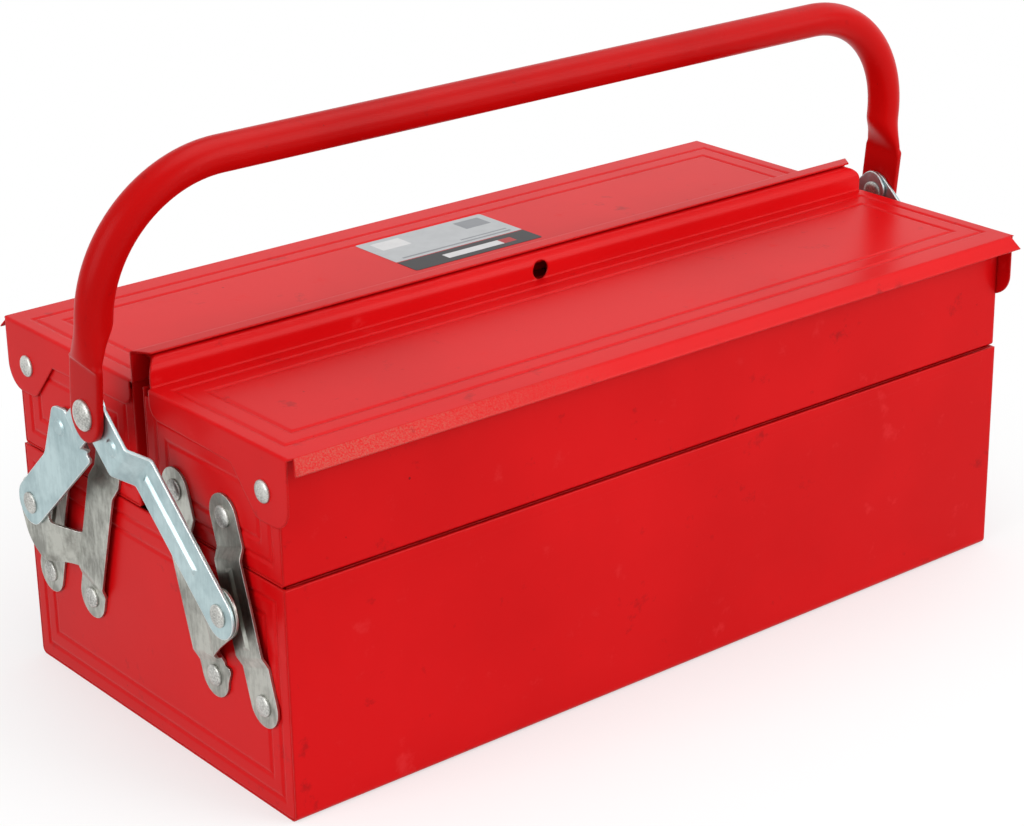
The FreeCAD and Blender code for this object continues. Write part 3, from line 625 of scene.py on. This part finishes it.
def pressed_section(tube, rise):
    """The left leg's section at a height over the pivot.

    Each point is a depth in from the tube's outside and a place across it.
    """
    opened = smooth_share(rise, tube.flat_length, tube.flat_length + tube.swage_length)
    stepped = smooth_share(rise, tube.flat_length, tube.flat_length + tube.step_length)
    outer = tube.flat_inset * (1 - stepped)
    inner = (tube.flat_inset + tube.flat_thickness) * (1 - opened) + tube.across * opened
    # The flatter the tube is pressed, the wider and squarer it gets, as its girth stays the same
    pressed = (tube.across - inner + outer) / (tube.across - tube.flat_thickness)
    half_width = (tube.across + (tube.flat_width - tube.across) * pressed) / 2
    # Below the pivot the flat ends in a half circle
    below = half_width - tube.end_reach - rise
    if below > 0:
        half_width = math.sqrt(max(half_width ** 2 - below ** 2, 0)) + TIP_WIDTH / 2
    # It is widest at the flat's own depth, and over the step its outer side swells to a soft belly
    widest = (tube.flat_inset + tube.flat_thickness / 2) * (1 - opened) + tube.across / 2 * opened
    section = []
    for step in range(tube.steps):
        turn = 2 * math.pi * step / tube.steps
        outside = math.cos(turn) > 0
        reach = widest - outer if outside else inner - widest
        square = 2 + FLAT_SQUARENESS * pressed ** 4 * (1 - stepped if outside else 1)
        depth = math.copysign(abs(math.cos(turn)) ** (2 / square), math.cos(turn))
        width = math.copysign(abs(math.sin(turn)) ** (2 / square), math.sin(turn))
        section.append((widest - reach * depth, half_width * width))
    return section


def tube_rings(tube, half_span):
    """Rings of points up the left leg and round its bend to the middle of the grip.

    half_span is from the middle of the box to the outside of the leg.
    """
    round_end = []
    for step in range(FLAT_END_STEPS + 1):
        swept = math.pi / 2 * step / FLAT_END_STEPS
        round_end.append(-tube.end_reach + tube.flat_width / 2 * (1 - math.cos(swept)))
    # Between the flat's lower end and its top the section stays the same, so no rings are needed
    leg_start = tube.flat_length - tube.step_length
    leg_end = tube.height - tube.bend
    straight = [leg_start + (leg_end - leg_start) * step / LEG_STEPS for step in range(LEG_STEPS)]
    rings = []
    for rise in round_end + straight:
        ring = []
        for depth, width in pressed_section(tube, rise):
            ring.append(Vector((depth - half_span, width, rise)))
        rings.append(ring)
    for step in range(BEND_STEPS + 1):
        swung = math.pi / 2 * step / BEND_STEPS
        ring = []
        for depth, width in pressed_section(tube, leg_end + tube.bend * swung):
            reach = tube.bend + tube.across / 2 - depth
            ring.append(Vector((tube.bend + tube.across / 2 - half_span - reach * math.cos(swung), width,
                                leg_end + reach * math.sin(swung))))
        rings.append(ring)
    return rings


class TOOLBOX_OT_handle(Operator):
    """Bend the tube handle, with its ends pressed flat in a smooth swage"""
    bl_idname = "toolbox.handle"
    bl_label = "Handle"

    def execute(self, context):
        tube = context.scene.tool_box_tube
        left = tube_rings(tube, outward("handle"))
        right = [[Vector((-point.x, point.y, point.z)) for point in ring] for ring in reversed(left)]
        builder = bmesh.new()
        rings = [[builder.verts.new(point) for point in ring] for ring in left + right]
        join_rings(builder, rings)
        lean = Matrix.Translation(joint_place("handle_swing")) @ Matrix.Rotation(tube.lean, 4, "X")
        bmesh.ops.transform(builder, matrix=lean, verts=builder.verts)
        mesh = smooth_mesh(builder, "pressed_tube", sharp_degrees=60)
        settings = context.scene.tool_box_enamel
        # The tube takes the darker reds, which paint shade into its colour.
        material = red_enamel("red enamel on tube with painted shade", settings, settings.tube_shaded_colour,
                              settings.tube_shaded_deep_colour, settings.tube_sheen)
        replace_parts(new_piece("pressed_tube", mesh, [material], "handle"), "handle")
        return {"FINISHED"}


class TOOLBOX_OT_hems(Operator):
    """Hem the lower edge of each tray's long outer wall, which narrows its gap over the base"""
    bl_idname = "toolbox.hems"
    bl_label = "Hems"

    def execute(self, context):
        hem = context.scene.tool_box_hem
        material = frame["nodes"]["base_shell"].material_slots[0].material
        for row, side in zip(ROWS, (-1, 1)):
            low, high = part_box(row + "_tray_shell")
            outer = low.y if side < 0 else high.y
            builder = bmesh.new()
            rings = []
            for end in (low.x + hem.inset, high.x - hem.inset):
                ring = []
                for step in range(HEM_STEPS + 1):
                    turn = math.pi * step / HEM_STEPS
                    across = hem.thickness / 2 * (1 - math.cos(turn))
                    down = hem.drop * math.sin(turn)
                    ring.append(builder.verts.new((end, outer - side * across, low.z - down)))
                rings.append(ring)
            join_rings(builder, rings)
            mesh = smooth_mesh(builder, row + "_tray_hem", sharp_degrees=50)
            new_piece(row + "_tray_hem", mesh, [material], row + "_tray")
        return {"FINISHED"}


class TOOLBOX_OT_links(Operator):
    """Finish the links in dull steel"""
    bl_idname = "toolbox.links"
    bl_label = "Links"

    def execute(self, context):
        finish_nodes(LINK_NODES, dull_steel(context.scene.tool_box_metal))
        return {"FINISHED"}


class TOOLBOX_OT_arms(Operator):
    """Finish the arms in bright zinc"""
    bl_idname = "toolbox.arms"
    bl_label = "Arms"

    def execute(self, context):
        finish_nodes(ARM_NODES, zinc_plate(context.scene.tool_box_metal))
        return {"FINISHED"}


class TOOLBOX_OT_rivets(Operator):
    """Set domed rivets on every pivot"""
    bl_idname = "toolbox.rivets"
    bl_label = "Rivets"

    def execute(self, context):
        settings = context.scene.tool_box_rivets
        material = rivet_steel(context.scene.tool_box_metal)
        base_places = [joint_place(name) for name in ("trays_fold", "front_outer_links_fold",
                                                      "rear_inner_links_fold", "rear_outer_links_fold")]
        rivet_set(settings, "base_link_rivets", "base", base_places, settings.link_head,
                  outward("base_end_left"), material)
        for row, (inner, outer) in zip(ROWS, (base_places[:2], base_places[2:])):
            top = joint_place(row + "_tray_level")
            tray_face = outward(row + "_tray_end_left")
            rivet_set(settings, row + "_tray_link_rivets", row + "_tray", [top, top + outer - inner],
                      settings.link_head, tray_face, material)
            rivet_set(settings, row + "_hinge_rivets", row + "_tray", [joint_place(row + "_lid_open")],
                      settings.hinge_head, tray_face, material)
            rivet_set(settings, row + "_arm_rivets", row + "_inner_links", [joint_place(row + "_arms_fold")],
                      settings.arm_head, outward(row + "_inner_link_left"), material)
        under_arms = outward("rear_arm_left") - settings.arm_sheet
        rivet_set(settings, "handle_rivets", "front_arms", [joint_place("handle_swing")],
                  settings.handle_head, under_arms, material, settings.tail_height)
        return {"FINISHED"}


class TOOLBOX_OT_label(Operator):
    """Lay the plain printed foil label on the rear lid"""
    bl_idname = "toolbox.label"
    bl_label = "Label"

    def execute(self, context):
        settings = context.scene.tool_box_label
        materials = [
            printed_foil("bare aluminium foil", settings.foil, metallic=1.0, roughness=0.3),
            printed_foil("black screen ink", settings.ink, metallic=0.0, roughness=0.3),
            printed_foil("red screen ink", settings.accent, metallic=0.0, roughness=0.3),
            printed_foil("white screen ink", settings.light, metallic=0.0, roughness=0.35),
            printed_foil("grey screen ink", settings.grey, metallic=0.3, roughness=0.3)]
        low = Vector((settings.centre_x - settings.length / 2, settings.centre_y - settings.width / 2, 0))
        high = Vector((settings.centre_x + settings.length / 2, settings.centre_y + settings.width / 2, 0))
        vertices = frame["nodes"]["rear_lid"].data.vertices
        lid_top = max(vertex.co.z for vertex in vertices if vertex.co.y > low.y)
        bar = low.y + (settings.band - settings.bar) / 2
        columns = [low.x + part * settings.length for part in PRINT_COLUMNS]
        rows = [low.y, bar, bar + settings.bar]
        rows += [low.y + settings.band + part * settings.stripe for part in PRINT_ROWS]
        rows += [high.y - settings.panel, high.y - settings.panel / 4, high.y]
        # Rows from the front, with one digit for each block from the left: 0 is bare foil and the
        # rest are inks, 1 black, 2 red, 3 white and 4 grey
        prints = ("111111111", "111333211", "111111111", "222222222", "000000000", "044444440",
                  "000000000", "000044440", "000000000", "033000440", "000000000")
        builder = bmesh.new()
        grid = [[builder.verts.new((x, y, lid_top + settings.thickness)) for x in columns] for y in rows]
        for row, line in enumerate(prints):
            for column, ink in enumerate(line):
                face = builder.faces.new((grid[row][column], grid[row][column + 1],
                                          grid[row + 1][column + 1], grid[row + 1][column]))
                face.material_index = int(ink)
        corners = [grid[0][0], grid[0][-1], grid[-1][0], grid[-1][-1]]
        bmesh.ops.bevel(builder, geom=corners, offset=settings.corner, segments=4, affect="VERTICES",
                        profile=0.5)
        rim = [edge for edge in builder.edges if edge.is_boundary]
        wall = bmesh.ops.extrude_edge_only(builder, edges=rim)["geom"]
        for vertex in wall:
            if isinstance(vertex, bmesh.types.BMVert):
                vertex.co.z = lid_top
        # The bevel numbers what it adds differently on each run
        sort_by_place(builder.verts, lambda vertex: vertex.co)
        sort_by_place(builder.faces, lambda face: face.calc_center_median())
        bmesh.ops.recalc_face_normals(builder, faces=builder.faces)
        mesh = bpy.data.meshes.new("foil_label")
        builder.to_mesh(mesh)
        builder.free()
        new_piece("foil_label", mesh, materials, "rear_lid")
        return {"FINISHED"}


class TOOLBOX_OT_stage(Operator):
    """Set the floor, the lights, the room and the camera"""
    bl_idname = "toolbox.stage"
    bl_label = "Stage"

    def execute(self, context):
        settings = context.scene.tool_box_stage
        make_floor(context, settings)
        make_room(context, settings)
        soft_box(context, "top soft box", settings.top_power, settings.top_width, settings.top_place)
        soft_box(context, "front soft box", settings.front_power, settings.front_width,
                 settings.front_place)
        soft_box(context, "left soft box", settings.left_power, settings.left_width, settings.left_place)
        set_camera(context, settings)
        context.scene.view_settings.view_transform = "Standard"
        return {"FINISHED"}


def seen_directly(tree):
    """1 for what the camera, a reflection or a clear view through glass meets, else 0."""
    path = add_node(tree, "ShaderNodeLightPath", {}).node.outputs
    mirrored = add_node(tree, "ShaderNodeMath", {0: path["Is Glossy Ray"], 1: path["Is Transmission Ray"]},
                        operation="MAXIMUM")
    return add_node(tree, "ShaderNodeMath", {0: path["Is Camera Ray"], 1: mirrored}, operation="MAXIMUM")


def make_floor(context, settings):
    """A matt pale floor that keeps the box's shadow and shows plain white further out."""
    mesh = bpy.data.meshes.new("floor")
    corners = [(x * FLOOR_REACH, y * FLOOR_REACH, 0) for x, y in ((-1, -1), (1, -1), (1, 1), (-1, 1))]
    mesh.from_pydata(corners, [], [(0, 1, 2, 3)])
    material, tree, place = start_material("matt painted studio floor")
    seen = seen_directly(tree)
    dim = tuple(FLOOR_DIM * channel for channel in settings.floor)
    colour = add_node(tree, "ShaderNodeMix", {"Factor": seen, 6: opaque(dim), 7: opaque(settings.floor)},
                      2, data_type="RGBA")
    paint = add_node(tree, "ShaderNodeBsdfDiffuse", {"Color": colour})
    plain = add_node(tree, "ShaderNodeEmission", {"Color": (1, 1, 1, 1), "Strength": 1.0})
    away = add_node(tree, "ShaderNodeVectorMath", {0: place}, "Value", operation="LENGTH")
    clear = add_node(tree, "ShaderNodeMapRange",
                     {"Value": away, "From Min": settings.shadow, "From Max": settings.clear,
                      "To Min": settings.haze}, "Result", interpolation_type="SMOOTHSTEP")
    share_plain = add_node(tree, "ShaderNodeMath", {0: clear, 1: seen}, operation="MULTIPLY")
    surface = add_node(tree, "ShaderNodeMixShader", {0: share_plain, 1: paint, 2: plain})
    add_node(tree, "ShaderNodeOutputMaterial", {"Surface": surface})
    mesh.materials.append(material)
    floor = bpy.data.objects.new("floor", mesh)
    context.scene.collection.objects.link(floor)


def make_room(context, settings):
    """A white room: full white to the camera and in reflections, weaker as light."""
    world = bpy.data.worlds.new("white room")
    world.use_nodes = True
    tree = world.node_tree
    tree.nodes.clear()
    strength = add_node(tree, "ShaderNodeMapRange",
                        {"Value": seen_directly(tree), "To Min": settings.world}, "Result")
    background = add_node(tree, "ShaderNodeBackground", {"Color": (1, 1, 1, 1), "Strength": strength})
    add_node(tree, "ShaderNodeOutputWorld", {"Surface": background})
    context.scene.world = world


def soft_box(context, name, power, width, place):
    """A square area light that faces the box."""
    light = bpy.data.lights.new(name, "AREA")
    light.energy = power
    light.size = width
    lamp = bpy.data.objects.new(name, light)
    lamp.location = place
    aim = LAMP_AIM - Vector(place)
    lamp.rotation_euler = aim.to_track_quat("-Z", "Y").to_euler()
    context.scene.collection.objects.link(lamp)


def set_camera(context, settings):
    """The camera at the photograph's angle."""
    azimuth, elevation = settings.azimuth, settings.elevation
    level = Vector((math.cos(azimuth), math.sin(azimuth), 0))
    back = Vector((math.sin(azimuth) * math.cos(elevation), -math.cos(azimuth) * math.cos(elevation),
                   math.sin(elevation)))
    upright = back.cross(level)
    right = math.cos(settings.roll) * level + math.sin(settings.roll) * upright
    up = back.cross(right)
    place = back * settings.distance + right * settings.aim_right + up * settings.aim_up
    camera = bpy.data.cameras.new("camera")
    camera.sensor_width = settings.sensor
    camera.lens = settings.lens
    rig = bpy.data.objects.new("camera", camera)
    rig.matrix_world = Matrix.Translation(place) @ Matrix((right, up, back)).transposed().to_4x4()
    context.scene.collection.objects.link(rig)
    context.scene.camera = rig


class TOOLBOX_PT_panel(Panel):
    """Lists the steps that dress the tool box"""
    bl_idname = "TOOLBOX_PT_panel"
    bl_label = "Tool Box"
    bl_space_type = "VIEW_3D"
    bl_region_type = "UI"
    bl_category = "Tool Box"

    def draw(self, context):
        for step in STEPS:
            self.layout.operator(step.bl_idname)


GROUPS = {
    "tool_box_enamel": ToolBoxEnamel,
    "tool_box_tube": ToolBoxTube,
    "tool_box_hem": ToolBoxHem,
    "tool_box_metal": ToolBoxMetal,
    "tool_box_rivets": ToolBoxRivets,
    "tool_box_label": ToolBoxLabel,
    "tool_box_stage": ToolBoxStage,
}
STEPS = (TOOLBOX_OT_enamel, TOOLBOX_OT_hems, TOOLBOX_OT_handle, TOOLBOX_OT_links, TOOLBOX_OT_arms,
         TOOLBOX_OT_rivets, TOOLBOX_OT_label, TOOLBOX_OT_stage)


def register():
    """Register the settings, the steps and the panel."""
    for name, group in GROUPS.items():
        bpy.utils.register_class(group)
        setattr(bpy.types.Scene, name, PointerProperty(type=group))
    for step in STEPS + (TOOLBOX_PT_panel,):
        bpy.utils.register_class(step)


def unregister():
    """Undo what register does, in the reverse order."""
    for step in (TOOLBOX_PT_panel,) + STEPS[::-1]:
        bpy.utils.unregister_class(step)
    for name, group in reversed(GROUPS.items()):
        delattr(bpy.types.Scene, name)
        bpy.utils.unregister_class(group)


def main():
    """Dress the box in order."""
    register()
    bpy.ops.toolbox.enamel()
    bpy.ops.toolbox.hems()
    bpy.ops.toolbox.handle()
    bpy.ops.toolbox.links()
    bpy.ops.toolbox.arms()
    bpy.ops.toolbox.rivets()
    bpy.ops.toolbox.label()
    bpy.ops.toolbox.stage()


if __name__ == "__main__":
    main()
